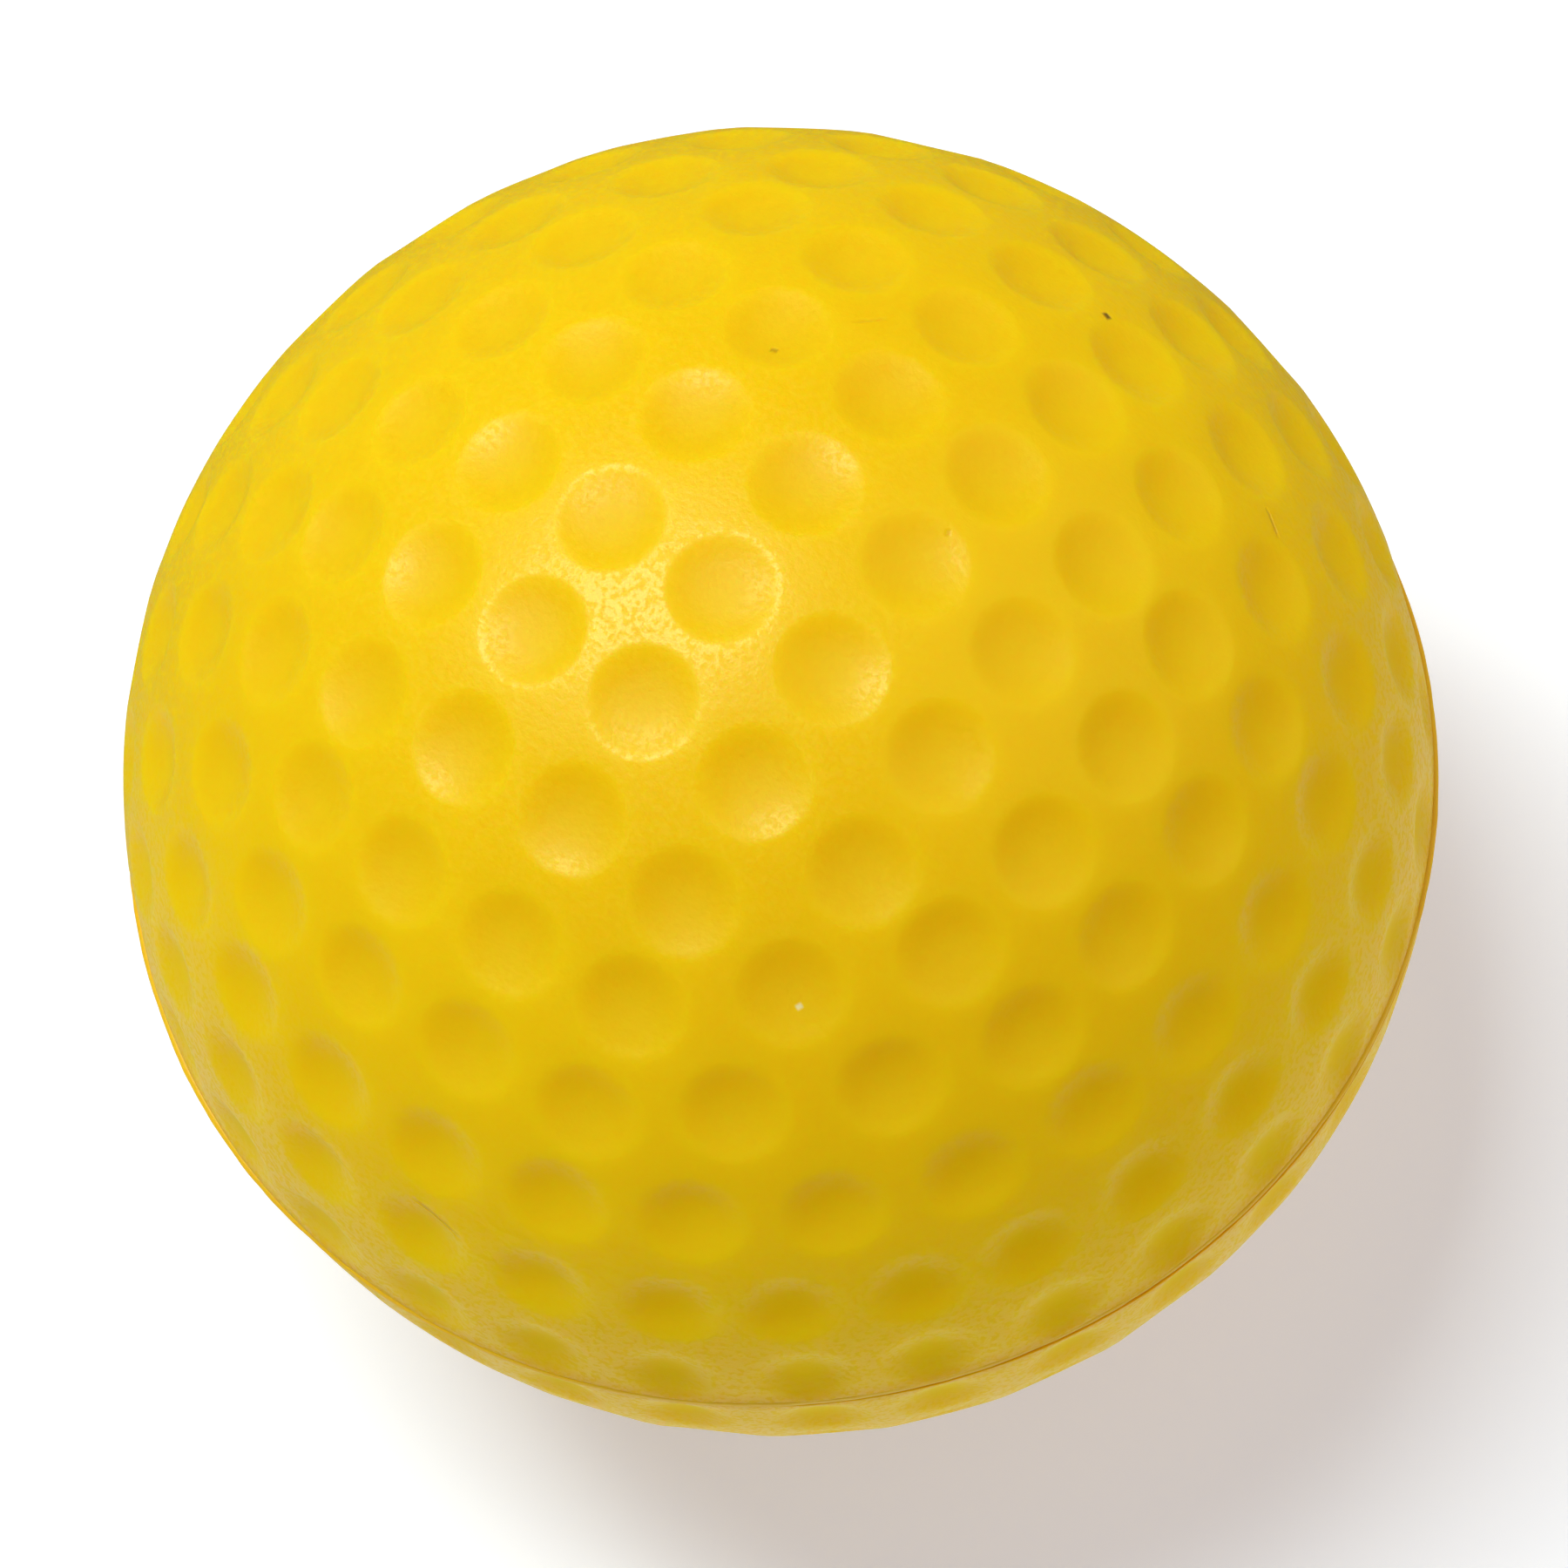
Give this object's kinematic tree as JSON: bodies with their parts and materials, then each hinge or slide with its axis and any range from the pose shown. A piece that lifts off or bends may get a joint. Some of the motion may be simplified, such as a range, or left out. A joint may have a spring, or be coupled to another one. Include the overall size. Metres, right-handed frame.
{
  "type": "stress ball",
  "caption": "Dimpled foam squeeze ball that is pressed flatter in the hand and springs back by itself.",
  "frame": {"origin": "centre of the ball", "axes": "+Z is the direction the two-part mould opens in, square to the parting line, and the ball is squeezed along it; +X and +Y lie in the parting plane, along the lines where the dimple pattern mirrors"},
  "size_m": [0.0636, 0.0636, 0.063],
  "materials": {
    "skin": "glossy self-skinned polyurethane foam, yellow, with a fine pebbled grain",
    "bead": "satin moulded line in the skin's own yellow",
    "core": "matt open-cell foam"
  },
  "bodies": {
    "lower_half": {"lower_skin": "skin", "foam_core": "core", "parting_bead": "bead"},
    "upper_half": {"upper_skin": "skin"}
  },
  "joints": [
    {"name": "squeeze", "type": "slide", "parent": "lower_half", "child": "upper_half", "axis": [0, 0, -1], "range_m": [0, 0.0252], "stiffness_N_per_m": 2400, "deforming": ["upper_skin", "lower_skin", "foam_core", "parting_bead"]}
  ]
}
